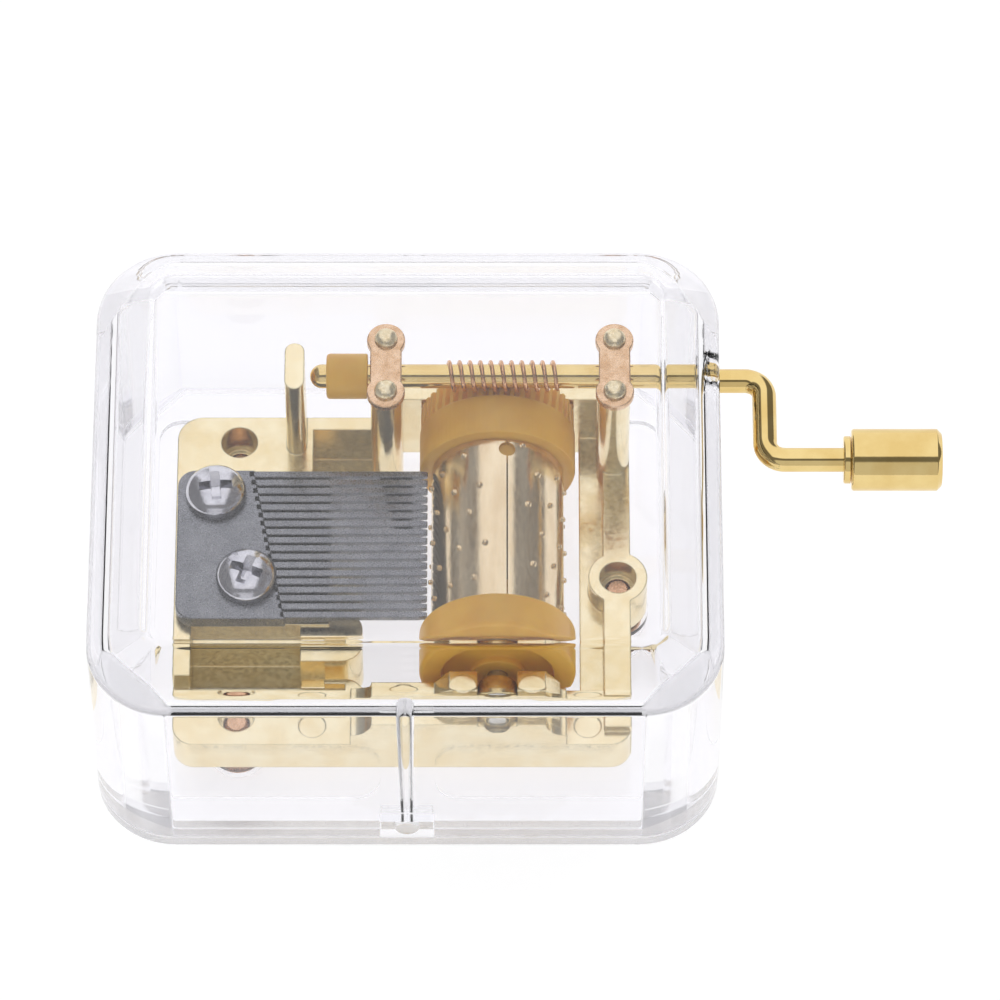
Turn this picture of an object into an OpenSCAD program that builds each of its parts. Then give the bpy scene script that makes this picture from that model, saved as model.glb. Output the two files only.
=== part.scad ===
// Hand-crank music box: an 18-note comb-and-cylinder movement in a clear acrylic case.
// Origin: centre of the case's underside. +X runs out along the crank, +Y to the back, +Z up.

/* [Case] */
// Width of the case, left to right
case_w = 60; // [60:0.5:64]
// Depth of the case, front to back
case_d = 52; // [51:0.5:56]
// Height of the closed case
case_h = 28.8; // [28.4:0.2:31]
// Outer radius of the upright corners
corner_r = 7.8; // [7:0.2:9]
// Thickness of the acrylic shell
wall = 2.2; // [1.8:0.1:2.4]
// How far the sloping top edge runs inwards
bevel_run = 5.2; // [4.6:0.1:5.4]
// How far the sloping top edge rises
bevel_rise = 3.9; // [3.4:0.1:4.2]

/* [Base plate] */
// Thickness of the flange that the shell stands on
flange_h = 1.6; // [1.4:0.1:1.8]
// Height of the raised plug's top above the table
plug_top = 3.0; // [2.8:0.1:3.2]
// Depth of the two pockets in the plug
pocket_depth = 0.7; // [0.4:0.1:0.9]

/* [Drum] */
// Distance of the drum's axis to the right of the case's centre
drum_x = 8.65; // [8.4:0.05:8.9]
// Height of the drum's axis
drum_z = 11.28; // [11.1:0.02:11.4]
// Outer radius of the rolled sleeve
sleeve_r = 6.4; // [6.2:0.05:6.4]
// How far the pins stand out of the sleeve
pin_reach = 0.3; // [0.2:0.05:0.3]
// Number of pins around the sleeve
pin_count = 66; // [30:1:80]

/* [Comb] */
// Number of teeth
tooth_count = 18; // [12:1:18]
// Spacing of the teeth
tooth_pitch = 0.935; // [0.9:0.005:0.94]
// Gap between two teeth
tooth_gap = 0.25; // [0.2:0.01:0.3]
// Height of the comb's top face
comb_top = 12.0; // [11.9:0.05:12.1]

/* [Crank] */
// How far behind the case's centre the crank shaft lies
shaft_y = 14.2; // [14.1:0.05:14.3]
// Radius of the crank wire
shaft_r = 1.17; // [1.1:0.01:1.17]
// Throw of the crank arm
crank_throw = 9.0; // [8:0.5:12]
// Number of teeth on the worm wheel
wheel_teeth = 45; // [45:1:45]
// Pitch of the worm coil
worm_pitch = 1.0; // [1:0.1:1]
// Radius of the worm's wire
coil_wire_r = 0.2; // [0.16:0.01:0.2]
// Radius of the knob
knob_r = 3.0; // [2.6:0.05:3.5]
// Length of the knob
knob_len = 8.7; // [7:0.1:12]

/* [Hidden] */
$fn = 48;
fit = 0.05;            // running clearance of a shaft in its bearing
seat = 0.02;           // clearance of a piece pressed onto a shaft
eps = 0.01;
through = 60;          // long enough to cut through anything

// Inside of the shell: an even wall, so the inner slope is the outer one moved in
slope = bevel_rise / bevel_run;
inner_rise_run = (bevel_rise - wall + wall * sqrt(1 + slope * slope)) / slope - wall;
inner_w = case_w - 2 * wall;
inner_d = case_d - 2 * wall;
inner_cut = 5.3;       // inner corners are cut off at 45 degrees, so far along each wall
notch_w = 5.2;         // pry notch at the front of the shell
notch_h = 3.0;
shaft_hole_r = 1.9;    // hole in the shell's right wall
skin_gap = 0.03;       // between the shell and the flange it stands on

// Crank shaft and worm wheel
wheel_pitch_r = wheel_teeth * worm_pitch / 360 * 180 / PI;
coil_r = shaft_r + coil_wire_r + eps;          // radius of the coil's centre line
shaft_z = drum_z + wheel_pitch_r + coil_r + 0.18;
wheel_tip_r = wheel_pitch_r + 0.29;
gullet_r = wheel_pitch_r - 0.22;
gullet_w = 0.62;
lead_angle = atan(worm_pitch / (2 * PI * coil_r));
coil_first = -5;       // turns to the left of the wheel's centre
coil_last = 5.8;       // turns to the right of it

// Drum, front to back
arbor_r = 1.0;
arbor_y = [-17.6, 17.4];
cap_y = [-13.0, -9.45];
cap_r = 7.5;
sleeve_y = [-9.4, 8.55];
sleeve_t = 0.5;
wheel_y = [8.6, 15.4];
wheel_rim_r = 7.55;
teeth_y = 12.9;        // front end of the toothed part of the wheel
seam_angle = 8.5;      // from straight up towards the crank side

// Comb
comb_x = -22.3;
comb_tip_x = drum_x - sleeve_r - pin_reach - 0.06;
comb_y = [-8.3, 8.55];
comb_t = 1.6;
comb_corner_r = 1.6;
tooth_t = 0.55;
root_x = [-15.4, -12.2];                       // tooth roots at the back and at the front
comb_screws_at = [[-18.6, 5.7, 5], [-15.5, -3.8, -20]];   // x, y and turn of each cross slot
comb_screw_r = 1.5;

// Bedplate levels and outline
bed_x = [-22.5, 21.5];
bed_y = [-18.1, 15.6];
bed_z = 3.6;
ledge_z = 7.9;
rail_z = 8.8;
seat_z = comb_top - comb_t;
block_x = -7.5;        // right side of the comb block
rail_w = 2.6;          // right rail
step_w = 2.3;          // lower step beside the right rail
front_w = 4.1;         // depth of the front rail
bush_r = 1.9;
corner_bed_r = 2.5;
pillar_w = 1.7;        // pillar at the left end of the trough
pillar_y = -12.4;
trough_y = [-13.9, -8.0];
trough_z = 5.2;
tongue_y = [-10.5, -6.4];                      // tongue in front of the comb seat
tongue_z = 10.1;
tongue_end_x = -4.3;
slot_x = -10.3;        // slot between the tongue and the ledge
lip_y = -11.3;
mid_x = [-3.4, drum_x + 4.6];                  // raised middle of the front rail
mid_z = 11.6;
mid_fillet_r = 2.0;
fork_z = 14.3;         // top of the prongs beside the front bush
fork_foot = 6.0;       // half widths of the fork at its foot and its shoulders
fork_shoulder = 4.6;
prong_x = 3.3;
prong_r = 1.35;
beam_y = [15.9, 17.5];
beam_z = 13.2;
post_w = 3.0;
post_top = shaft_z + shaft_r + 0.03;
post_reach = 4.2;      // of a bearing post, each way from the shaft
left_post_x = -2.1;
right_post_x = 19.95;
rivet_y = 2.95;
thrust_x = -10.9;
foot_screws_at = [[-16.5, 12.7], [-16.4, -14.9], [20.3, -1.7]];
foot_screw_r = 1.25;
mark_r = 1.3;          // round ejector-pin marks on the casting's top
mark_depth = 0.15;
ledge_marks_at = [[-9.1, -16.0], [17.3, -16.0]];
mid_mark_at = [-0.3, -15.5];

// Crank, left to right
shaft_tip_x = -9.45;
collar_x = [-7.85, -3.85];
leg_x = case_w / 2 + 4.4;
bend_r = 1.85;
knob_x = 42.6;
knob_y = shaft_y - crank_throw;
pin_r = 0.9;
strap_t = 0.8;

// ---------- shared shapes ----------

module rounded_outline(w, d, r) {
    square([w - 2 * r, d], center = true);
    square([w, d - 2 * r], center = true);
    for (sx = [-1, 1], sy = [-1, 1])
        translate([sx * (w / 2 - r), sy * (d / 2 - r)]) circle(r = r);
}

module slot_outline(w, l) {
    // stadium, w wide along X and l long along Y
    square([w, l - w], center = true);
    for (s = [-1, 1]) translate([0, s * (l - w) / 2]) circle(d = w);
}

module cut_outline(w, d, cut) {
    // rectangle with its corners cut off at 45 degrees
    polygon([[w / 2 - cut, -d / 2], [w / 2, -d / 2 + cut], [w / 2, d / 2 - cut], [w / 2 - cut, d / 2],
        [-w / 2 + cut, d / 2], [-w / 2, d / 2 - cut], [-w / 2, -d / 2 + cut], [-w / 2 + cut, -d / 2]]);
}

module slope_profile(across, h, run) {
    // upright wall lines that slope inwards at the top
    rise = run * slope;
    polygon([[-across / 2, 0], [across / 2, 0], [across / 2, h - rise],
        [across / 2 - run, h], [-across / 2 + run, h], [-across / 2, h - rise]]);
}

module bevelled_cavity(w, d, h, cut, run) {
    // inside of the shell: four sloping planes over an outline with cut corners
    intersection() {
        rotate([90, 0, 0]) linear_extrude(d, center = true) slope_profile(w, h, run);
        rotate([90, 0, 90]) linear_extrude(w, center = true) slope_profile(d, h, run);
        linear_extrude(h) cut_outline(w, d, cut);
    }
}

module bevelled_block(w, d, h, r, run) {
    // rounded upright block whose top edges slope inwards all round
    rise = run * slope;
    for (turn = [0, 90]) {
        across = turn == 0 ? w : d;
        along = (turn == 0 ? d : w) - 2 * r;
        rotate([90, 0, turn]) linear_extrude(along, center = true) slope_profile(across, h, run);
    }
    for (sx = [-1, 1], sy = [-1, 1])
        translate([sx * (w / 2 - r), sy * (d / 2 - r), 0]) {
            cylinder(r = r, h = h - rise);
            translate([0, 0, h - rise]) cylinder(r1 = r, r2 = r - run, h = rise);
        }
}

module along_x(x, y, z) {
    // turn a shape drawn up Z so that it runs along +X from the given place
    translate([x, y, z]) rotate([0, 90, 0]) children();
}

module along_y(x, y, z) {
    // turn a shape drawn up Z so that it runs along +Y from the given place
    translate([x, y, z]) rotate([-90, 0, 0]) children();
}

module box(x, y, z) {
    translate([x[0], y[0], z[0]]) cube([x[1] - x[0], y[1] - y[0], z[1] - z[0]]);
}

module cross_slot(size, width, depth) {
    for (turn = [0, 90])
        rotate([0, 0, turn]) translate([-size / 2, -width / 2, 0]) cube([size, width, depth]);
}

// ---------- case ----------

module case_shell() color([0.92, 0.94, 0.97, 0.35]) {
    difference() {
        translate([0, 0, flange_h + skin_gap])
            bevelled_block(case_w, case_d, case_h - flange_h - skin_gap, corner_r, bevel_run);
        translate([0, 0, flange_h - 1])
            bevelled_cavity(inner_w, inner_d, case_h - wall - flange_h + 1, inner_cut, inner_rise_run);
        // hole for the crank shaft
        along_x(case_w / 2 - wall - 1, shaft_y, shaft_z) cylinder(r = shaft_hole_r, h = wall + 2);
        // pry notch at the front
        box([-notch_w / 2, notch_w / 2], [-case_d / 2 - 1, -case_d / 2 + wall + 1],
            [0, flange_h + notch_h]);
    }
    // tapered rib inside the front wall, above the notch
    rib_y = -case_d / 2 + wall;
    rib_top = case_h - bevel_rise - 1.2;
    translate([0, rib_y + 0.5, 0]) rotate([90, 0, 0]) linear_extrude(0.6)
        polygon([[-0.5, flange_h + notch_h + 0.2], [0.5, flange_h + notch_h + 0.2],
            [0.8, rib_top], [-0.8, rib_top]]);
}

module base_plate() color([0.90, 0.93, 0.97, 0.45]) {
    tab_gap = 0.12;
    plug_gap = 0.15;
    difference() {
        union() {
            linear_extrude(flange_h) rounded_outline(case_w, case_d, corner_r);
            linear_extrude(plug_top)
                cut_outline(inner_w - 2 * plug_gap, inner_d - 2 * plug_gap, inner_cut);
            // tab that fills the pry notch, with a round nub to push
            box([-notch_w / 2 + tab_gap, notch_w / 2 - tab_gap],
                [-case_d / 2 + 0.9, -case_d / 2 + wall + 1], [0, flange_h + notch_h - tab_gap]);
            along_y(0, -case_d / 2 + 0.15, flange_h + 1.3) cylinder(d = 2.4, h = 2);
        }
        // two pockets that leave a rib down the middle
        for (s = [-1, 1]) translate([0, 0, plug_top - pocket_depth])
            linear_extrude(pocket_depth + 1) intersection() {
                translate([0, -0.5]) rounded_outline(49.4, 41, 3);
                translate([s * (2.6 + 15), 0]) square([30, through], center = true);
            }
        for (at = foot_screws_at) translate([at[0], at[1], 0]) {
            translate([0, 0, -1]) cylinder(r = foot_screw_r + 0.2, h = plug_top + 2);
            translate([0, 0, -1]) cylinder(d = 5.6, h = 1 + 1.4);
        }
    }
    // standing bosses under the movement's feet
    for (at = foot_screws_at) translate([at[0], at[1], 1.4]) difference() {
        cylinder(d = 6, h = plug_top - 1.4);
        translate([0, 0, -1]) cylinder(r = foot_screw_r + 0.2, h = plug_top);
    }
}

module foot_screw() {
    difference() {
        translate([0, 0, 0.25]) cylinder(d = 4.8, h = 1.15);
        translate([0, 0, 0.2]) cross_slot(2.6, 0.6, 0.7);
    }
    translate([0, 0, 1.3]) cylinder(r = foot_screw_r, h = 5.4);
}

module base_screws() color([0.80, 0.55, 0.38]) {
    for (at = foot_screws_at) translate([at[0], at[1], 0]) foot_screw();
}

// ---------- bedplate ----------

module bed_left() {
    difference() {
        linear_extrude(seat_z - bed_z)
            translate([(bed_x[0] + block_x) / 2, (bed_y[0] + bed_y[1]) / 2])
                rounded_outline(block_x - bed_x[0], bed_y[1] - bed_y[0], corner_bed_r);
        // the front corner drops to the ledge; a trough lies between it and the comb seat
        box([bed_x[0] - 1, block_x + 1], [bed_y[0] - 1, pillar_y], [ledge_z - bed_z, through]);
        box([bed_x[0] + pillar_w, block_x + 1], trough_y, [trough_z - bed_z, through]);
        // slot between the tongue and the ledge
        box([slot_x, block_x + 1], [lip_y, tongue_y[0]], [-1, through]);
        // open pocket behind the comb, between the thrust post and the left bearing post
        box([thrust_x + 1.6, block_x + 1], [comb_y[1] + 0.1, bed_y[1] - 1.4], [1.4, through]);
        // hollow underside
        box([bed_x[0] + 2.2, block_x - 2], [trough_y[1] + 1.4, comb_y[1] - 1.4], [-1, 4.6]);
    }
    // bosses for the comb's screws in the hollow
    for (at = comb_screws_at) translate([at[0], at[1], 0]) cylinder(r = 2.6, h = 5);
    // round-ended tongue beside the comb seat
    tongue_r = (tongue_y[1] - tongue_y[0]) / 2;
    box([slot_x, tongue_end_x - tongue_r], tongue_y, [0, tongue_z - bed_z]);
    translate([tongue_end_x - tongue_r, tongue_y[0] + tongue_r, 0])
        cylinder(r = tongue_r, h = tongue_z - bed_z);
    // the ledge's deeper stretch, with the right end of the trough in it
    end_w = tongue_end_x - block_x + 3;
    difference() {
        linear_extrude(ledge_z - bed_z) translate([tongue_end_x - end_w / 2, (bed_y[0] + lip_y) / 2])
            rounded_outline(end_w, lip_y - bed_y[0], 1.6);
        box([bed_x[0], tongue_end_x - 1.7], [trough_y[0], lip_y - 0.5], [trough_z - bed_z, through]);
        box([bed_x[0], block_x - 0.5], [trough_y[0], through], [trough_z - bed_z, through]);
    }
}

module bed_front() {
    // low ledge from end to end
    translate([(bed_x[0] + bed_x[1]) / 2, bed_y[0] + front_w / 2, 0]) linear_extrude(ledge_z - bed_z)
        rounded_outline(bed_x[1] - bed_x[0], front_w, front_w / 2 - eps);
    // raised middle, with a hollow fillet at each end
    difference() {
        box([mid_x[0] - mid_fillet_r, mid_x[1] + mid_fillet_r], [bed_y[0], bed_y[0] + front_w],
            [0, mid_z - bed_z]);
        for (x = [mid_x[0] - mid_fillet_r, mid_x[1] + mid_fillet_r])
            along_y(x, bed_y[0] - 1, mid_z - bed_z) cylinder(r = mid_fillet_r, h = front_w + 2);
    }
    // sloping shoulders and two round-fronted prongs beside the bush
    shoulder_z = fork_z - 0.6;
    translate([drum_x, bed_y[0] + front_w, 0]) rotate([90, 0, 0]) linear_extrude(front_w - 0.9)
        polygon([[-fork_foot, 0], [fork_foot, 0], [fork_foot, mid_z - bed_z],
            [fork_shoulder, shoulder_z - bed_z], [-fork_shoulder, shoulder_z - bed_z],
            [-fork_foot, mid_z - bed_z]]);
    for (side = [-1, 1]) translate([drum_x + side * prong_x, bed_y[0] + 1.9, 0])
        cylinder(r = prong_r, h = fork_z - bed_z);
}

module bed_right() {
    // rail with its boss and the lower step beside it
    box([bed_x[1] - rail_w, bed_x[1]], [bed_y[0] + 1.5, beam_y[1]], [0, rail_z - bed_z]);
    box([bed_x[1] - rail_w - step_w, bed_x[1]], [bed_y[0] + 1.5, beam_y[1]], [0, 2.6]);
    translate([foot_screws_at[2][0], foot_screws_at[2][1], 0]) cylinder(d = 5.7, h = rail_z - bed_z);
}

module bed_back() {
    // beam between the two bearing posts, with the drum's rear bearing
    box([left_post_x, bed_x[1] - 0.4], beam_y, [0, beam_z - bed_z]);
    // wall behind the open pocket
    box([block_x - 2, left_post_x], [bed_y[1] - 1.4, bed_y[1]], [0, seat_z - bed_z]);
    box([block_x - 2, left_post_x], [comb_y[1] + 0.1, bed_y[1]], [0, 1.4]);
    // bearing posts
    for (x = [left_post_x, right_post_x]) translate([x, shaft_y, 0])
        linear_extrude(post_top - bed_z) slot_outline(post_w, 2 * post_reach);
    // post that stops the shaft's end
    translate([thrust_x, shaft_y - 0.3, 0]) linear_extrude(22.3 - bed_z) slot_outline(1.9, 5.2);
}

module bedplate() color([0.87, 0.78, 0.56]) translate([0, 0, bed_z]) difference() {
    union() {
        bed_left();
        bed_front();
        bed_right();
        bed_back();
        // feet on the base plate's bosses
        for (at = foot_screws_at) translate([at[0], at[1], plug_top - bed_z])
            cylinder(d = 5.2, h = bed_z - plug_top + 1);
        translate([foot_screws_at[0][0], foot_screws_at[0][1], 0]) cylinder(d = 5.6, h = 4);
    }
    // bearings of the drum, the front one open at its top, and of the crank shaft
    along_y(drum_x, beam_y[0] - 1, drum_z - bed_z) cylinder(r = bush_r, h = 4);
    along_y(drum_x, bed_y[0] + 0.6, drum_z - bed_z) cylinder(r = bush_r, h = front_w + 1);
    along_y(drum_x, bed_y[0] - 1, drum_z - bed_z) cylinder(r = arbor_r + 0.2, h = 3);
    box([drum_x - bush_r, drum_x + bush_r], [bed_y[0] - 1, bed_y[0] + front_w + 1],
        [drum_z - bed_z, through]);
    for (x = [left_post_x, right_post_x]) {
        along_x(x - post_w, shaft_y, shaft_z - bed_z) cylinder(r = shaft_r + fit, h = 2 * post_w);
        box([x - post_w, x + post_w], [shaft_y - shaft_r - fit, shaft_y + shaft_r + fit],
            [shaft_z - bed_z, through]);
        for (s = [-1, 1]) translate([x, shaft_y + s * rivet_y, post_top - bed_z - 3])
            cylinder(r = 0.8 + seat, h = 10);
    }
    // room for the wheel to turn in front of the beam and beside the posts
    along_y(drum_x, wheel_y[0] - 0.4, drum_z - bed_z)
        cylinder(r = wheel_rim_r + 0.35, h = beam_y[0] - wheel_y[0] + 0.4);
    // pilot holes and their wider mouths
    for (at = foot_screws_at) translate([at[0], at[1], 0]) {
        translate([0, 0, -5]) cylinder(r = foot_screw_r + seat, h = 30);
        translate([0, 0, 2.8]) cylinder(d = 3.5, h = 20);
    }
    for (at = comb_screws_at) translate([at[0], at[1], -1]) cylinder(r = comb_screw_r + seat, h = 20);
    // ejector-pin marks
    for (at = ledge_marks_at) translate([at[0], at[1], ledge_z - mark_depth - bed_z])
        cylinder(r = mark_r, h = 1);
    translate([mid_mark_at[0], mid_mark_at[1], mid_z - mark_depth - bed_z]) cylinder(r = mark_r, h = 1);
}

// ---------- comb ----------

function tooth_y(i) = comb_y[1] - tooth_pitch * (i + 0.5);
function root_at(i) = root_x[0] + (root_x[1] - root_x[0]) * i / (tooth_count - 1);

module comb() color([0.42, 0.43, 0.46]) difference() {
    union() {
        // thick base, left of the slanting line of roots
        translate([0, 0, comb_top - comb_t]) linear_extrude(comb_t) {
            polygon([[comb_x + comb_corner_r, comb_y[1]], [root_x[0] + 0.5, comb_y[1]],
                [root_x[1] + 0.5, comb_y[0]], [comb_x + comb_corner_r, comb_y[0]]]);
            translate([comb_x, comb_y[0] + comb_corner_r])
                square([2, comb_y[1] - comb_y[0] - 2 * comb_corner_r]);
            for (y = [comb_y[0] + comb_corner_r, comb_y[1] - comb_corner_r])
                translate([comb_x + comb_corner_r, y]) circle(r = comb_corner_r);
        }
        // teeth: thick at the root, thin towards the tip
        for (i = [0 : tooth_count - 1])
            translate([0, tooth_y(i) + (tooth_pitch - tooth_gap) / 2, comb_top])
                rotate([90, 0, 0]) linear_extrude(tooth_pitch - tooth_gap) polygon([
                    [root_at(i), 0], [comb_tip_x, 0], [comb_tip_x, -tooth_t],
                    [root_at(i) + 6, -tooth_t], [root_at(i) + 1.5, -1.2], [root_at(i), -1.2]]);
    }
    for (at = comb_screws_at) translate([at[0], at[1], 0]) cylinder(r = comb_screw_r + 0.1, h = through);
}

module comb_screw() {
    difference() {
        union() {
            intersection() {
                translate([0, 0, 1.95 - 4.6]) sphere(r = 4.6, $fn = 64);
                cylinder(d = 5.9, h = 3);
            }
            translate([0, 0, -6]) cylinder(r = comb_screw_r, h = 6.2);
        }
        translate([0, 0, 0.75]) cross_slot(3.4, 0.95, 3);
    }
}

module comb_screws() color([0.72, 0.72, 0.76]) {
    for (at = comb_screws_at)
        translate([at[0], at[1], comb_top]) rotate([0, 0, at[2]]) comb_screw();
}

module comb_weights() color([0.35, 0.36, 0.40]) {
    // lead under the long, low-pitched teeth; the longest carries the most
    heavy_teeth = 8;
    for (i = [0 : heavy_teeth - 1]) {
        long = 3.4 - 0.22 * i;
        box([0.4 - long, 0.4], [tooth_y(i) - 0.27, tooth_y(i) + 0.27],
            [comb_top - tooth_t - 1.5 + 0.08 * i, comb_top - tooth_t]);
    }
}

module comb_dampers() color([0.85, 0.85, 0.88]) {
    // thin tongue under the tip of each shorter tooth
    for (i = [8 : tooth_count - 1])
        box([-0.9, comb_tip_x - 0.25], [tooth_y(i) - 0.2, tooth_y(i) + 0.2],
            [comb_top - tooth_t - 0.14, comb_top - tooth_t]);
}

// ---------- drum ----------

module cylinder_sleeve() color([0.84, 0.74, 0.52]) {
    length = sleeve_y[1] - sleeve_y[0];
    along_y(drum_x, sleeve_y[0], drum_z) {
        difference() {
            cylinder(r = sleeve_r, h = length, $fn = 96);
            translate([0, 0, -1]) cylinder(r = sleeve_r - sleeve_t, h = length + 2, $fn = 96);
            // seam of the rolled sheet, with a half-round notch near its rear end
            rotate([0, 0, -90 + seam_angle]) {
                translate([0, -0.07, -1]) cube([through, 0.14, length + 2]);
                translate([0, -0.3, length - 1.1]) rotate([0, 90, 0]) cylinder(r = 0.75, h = through);
            }
        }
        // pins, one of the comb's tracks each, all round but for the seam
        for (k = [0 : pin_count - 1]) {
            track = (k * 7 + floor(k / 9)) % tooth_count;
            angle = seam_angle - 90 + 14 + k * (360 - 28) / pin_count;
            rotate([0, 0, angle])
                translate([sleeve_r - 0.2, 0, tooth_y(track) - sleeve_y[0]])
                    rotate([0, 90, 0]) cylinder(r = 0.24, h = pin_reach + 0.2, $fn = 16);
        }
    }
}

module worm_wheel() color([0.80, 0.60, 0.25]) difference() {
    along_y(drum_x, 0, drum_z) union() {
        // rim, toothed part and the spigot that fits the sleeve
        translate([0, 0, wheel_y[0]]) cylinder(r = wheel_rim_r, h = teeth_y - wheel_y[0], $fn = 96);
        translate([0, 0, teeth_y - 0.1]) cylinder(r = wheel_tip_r, h = wheel_y[1] - teeth_y + 0.1, $fn = 96);
        translate([0, 0, wheel_y[0] - 2.5]) cylinder(r = sleeve_r - sleeve_t - seat, h = 3, $fn = 96);
    }
    along_y(drum_x, -through / 2, drum_z) cylinder(r = arbor_r + seat, h = through);
    // tooth gaps, slanted to the worm's lead
    for (i = [0 : wheel_teeth - 1])
        translate([drum_x, shaft_y, drum_z]) rotate([0, i * 360 / wheel_teeth, 0])
            translate([0, 0, gullet_r]) rotate([0, 0, -lead_angle])
                translate([-gullet_w / 2, teeth_y - shaft_y, 0]) cube([gullet_w, 4, 2]);
    // dished rear face
    along_y(drum_x, wheel_y[1] - 1.2, drum_z) difference() {
        cylinder(r = 5.6, h = 2);
        translate([0, 0, -1]) cylinder(r = 2.4, h = 4);
    }
}

module cylinder_end_cap() color([0.80, 0.60, 0.25]) difference() {
    along_y(drum_x, cap_y[0], drum_z) union() {
        cylinder(r1 = cap_r - 0.4, r2 = cap_r, h = 0.4, $fn = 96);
        translate([0, 0, 0.4]) cylinder(r = cap_r, h = cap_y[1] - cap_y[0] - 0.4, $fn = 96);
        cylinder(r = sleeve_r - sleeve_t - seat, h = cap_y[1] - cap_y[0] + 2.5, $fn = 96);
    }
    along_y(drum_x, -through / 2, drum_z) cylinder(r = arbor_r + seat, h = through);
    // shallow dish around the hub
    along_y(drum_x, cap_y[0] - 1, drum_z) difference() {
        cylinder(r = 5.4, h = 1.7);
        translate([0, 0, -1]) cylinder(r = 2.5, h = 4);
    }
}

module cylinder_arbor() color([0.75, 0.73, 0.68]) {
    along_y(drum_x, arbor_y[0], drum_z) cylinder(r = arbor_r, h = arbor_y[1] - arbor_y[0]);
}

module bush(length) {
    difference() {
        cylinder(r = bush_r - seat, h = length);
        translate([0, 0, -1]) cylinder(r = arbor_r + fit, h = length + 2);
    }
}

module front_bush() color([0.86, 0.76, 0.50]) {
    along_y(drum_x, bed_y[0] + 0.65, drum_z) bush(front_w - 0.7);
}

module rear_bush() color([0.86, 0.76, 0.50]) {
    along_y(drum_x, beam_y[0] + 0.02, drum_z) bush(beam_y[1] - beam_y[0] - 0.04);
}

// ---------- crank ----------

module wire(length) cylinder(r = shaft_r, h = length);

module crank_bend(x, y, turn) {
    // quarter bend in the level plane, from its centre
    translate([x, y, shaft_z]) rotate([0, 0, turn])
        rotate_extrude(angle = 90) translate([bend_r, 0]) circle(r = shaft_r, $fn = 32);
}

module crank_shaft() color([0.93, 0.80, 0.35]) {
    along_x(shaft_tip_x + shaft_r, shaft_y, shaft_z) wire(leg_x - bend_r - shaft_tip_x - shaft_r);
    // rounded inner end
    translate([shaft_tip_x + shaft_r, shaft_y, shaft_z]) sphere(r = shaft_r, $fn = 48);
    crank_bend(leg_x - bend_r, shaft_y - bend_r, 0);
    along_y(leg_x, knob_y + bend_r, shaft_z) wire(crank_throw - 2 * bend_r);
    crank_bend(leg_x + bend_r, knob_y + bend_r, 180);
    along_x(leg_x + bend_r, knob_y, shaft_z) wire(knob_x - 0.75 - leg_x - bend_r);
    along_x(knob_x - 1, knob_y, shaft_z) cylinder(r = pin_r, h = knob_len + 0.65);
}

// One ring of the worm's wire, t turns from the wheel's centre
coil_sides = 8;
coil_steps = 24;       // rings in a turn
function coil_point(t, a) = let (turn = 270 + 360 * t, r = coil_r + coil_wire_r * cos(a)) [
    drum_x + worm_pitch * t + coil_wire_r * sin(a),
    shaft_y + r * cos(turn),
    shaft_z + r * sin(turn)];

module worm_coil() color([0.80, 0.50, 0.33]) {
    rings = round((coil_last - coil_first) * coil_steps);
    points = [for (i = [0 : rings], j = [0 : coil_sides - 1])
        coil_point(coil_first + i / coil_steps, j * 360 / coil_sides)];
    sides = [for (i = [0 : rings - 1], j = [0 : coil_sides - 1])
        let (a = i * coil_sides + j, b = i * coil_sides + (j + 1) % coil_sides)
            [a, b, b + coil_sides, a + coil_sides]];
    first = [for (j = [coil_sides - 1 : -1 : 0]) j];
    last = [for (j = [0 : coil_sides - 1]) rings * coil_sides + j];
    polyhedron(points, concat(sides, [first], [last]));
}

module shaft_collar() color([0.78, 0.58, 0.22]) difference() {
    along_x(collar_x[0], shaft_y, shaft_z) cylinder(r = 2.2, h = collar_x[1] - collar_x[0]);
    along_x(collar_x[0] - 1, shaft_y, shaft_z)
        cylinder(r = shaft_r + seat, h = collar_x[1] - collar_x[0] + 2);
}

module strap(x) {
    // plate with a round lug at each end
    translate([x, shaft_y, post_top]) linear_extrude(strap_t) difference() {
        union() {
            square([3.15, 2 * rivet_y], center = true);
            for (s = [-1, 1]) translate([0, s * rivet_y]) circle(d = 3.7);
        }
        for (s = [-1, 1]) translate([0, s * rivet_y]) circle(r = 0.8 + seat);
    }
}

module left_bearing_strap() color([0.80, 0.62, 0.46]) strap(left_post_x);

module right_bearing_strap() color([0.80, 0.62, 0.46]) strap(right_post_x);

module strap_rivets() color([0.82, 0.76, 0.58]) {
    for (x = [left_post_x, right_post_x], s = [-1, 1])
        translate([x, shaft_y + s * rivet_y, post_top + strap_t]) {
            intersection() {
                translate([0, 0, 0.75 - 1.6]) sphere(r = 1.6);
                cylinder(r = 1.1, h = 2);
            }
            translate([0, 0, -strap_t - 2.6]) cylinder(r = 0.8, h = strap_t + 2.7);
        }
}

module crank_knob() color([0.93, 0.80, 0.35]) difference() {
    along_x(knob_x, knob_y, shaft_z) union() {
        cylinder(r = knob_r, h = knob_len - 0.5);
        translate([0, 0, knob_len - 0.5]) cylinder(r1 = knob_r, r2 = knob_r - 0.5, h = 0.5);
    }
    along_x(knob_x - 1, knob_y, shaft_z) cylinder(r = pin_r + fit, h = knob_len + 2);
    along_x(knob_x + knob_len - 1.0, knob_y, shaft_z) cylinder(r = 1.8, h = 2);
}

module knob_collar() color([0.90, 0.77, 0.36]) difference() {
    along_x(knob_x - 0.75, knob_y, shaft_z) cylinder(r = 2.3, h = 0.7);
    along_x(knob_x - 2, knob_y, shaft_z) cylinder(r = pin_r + seat, h = 3);
}

module knob_rivet() color([0.90, 0.78, 0.40]) difference() {
    along_x(knob_x + knob_len - 0.95, knob_y, shaft_z) cylinder(r1 = 1.55, r2 = 1.3, h = 0.6);
    along_x(knob_x + knob_len - 2, knob_y, shaft_z) cylinder(r = pin_r + seat, h = 3);
}

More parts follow.
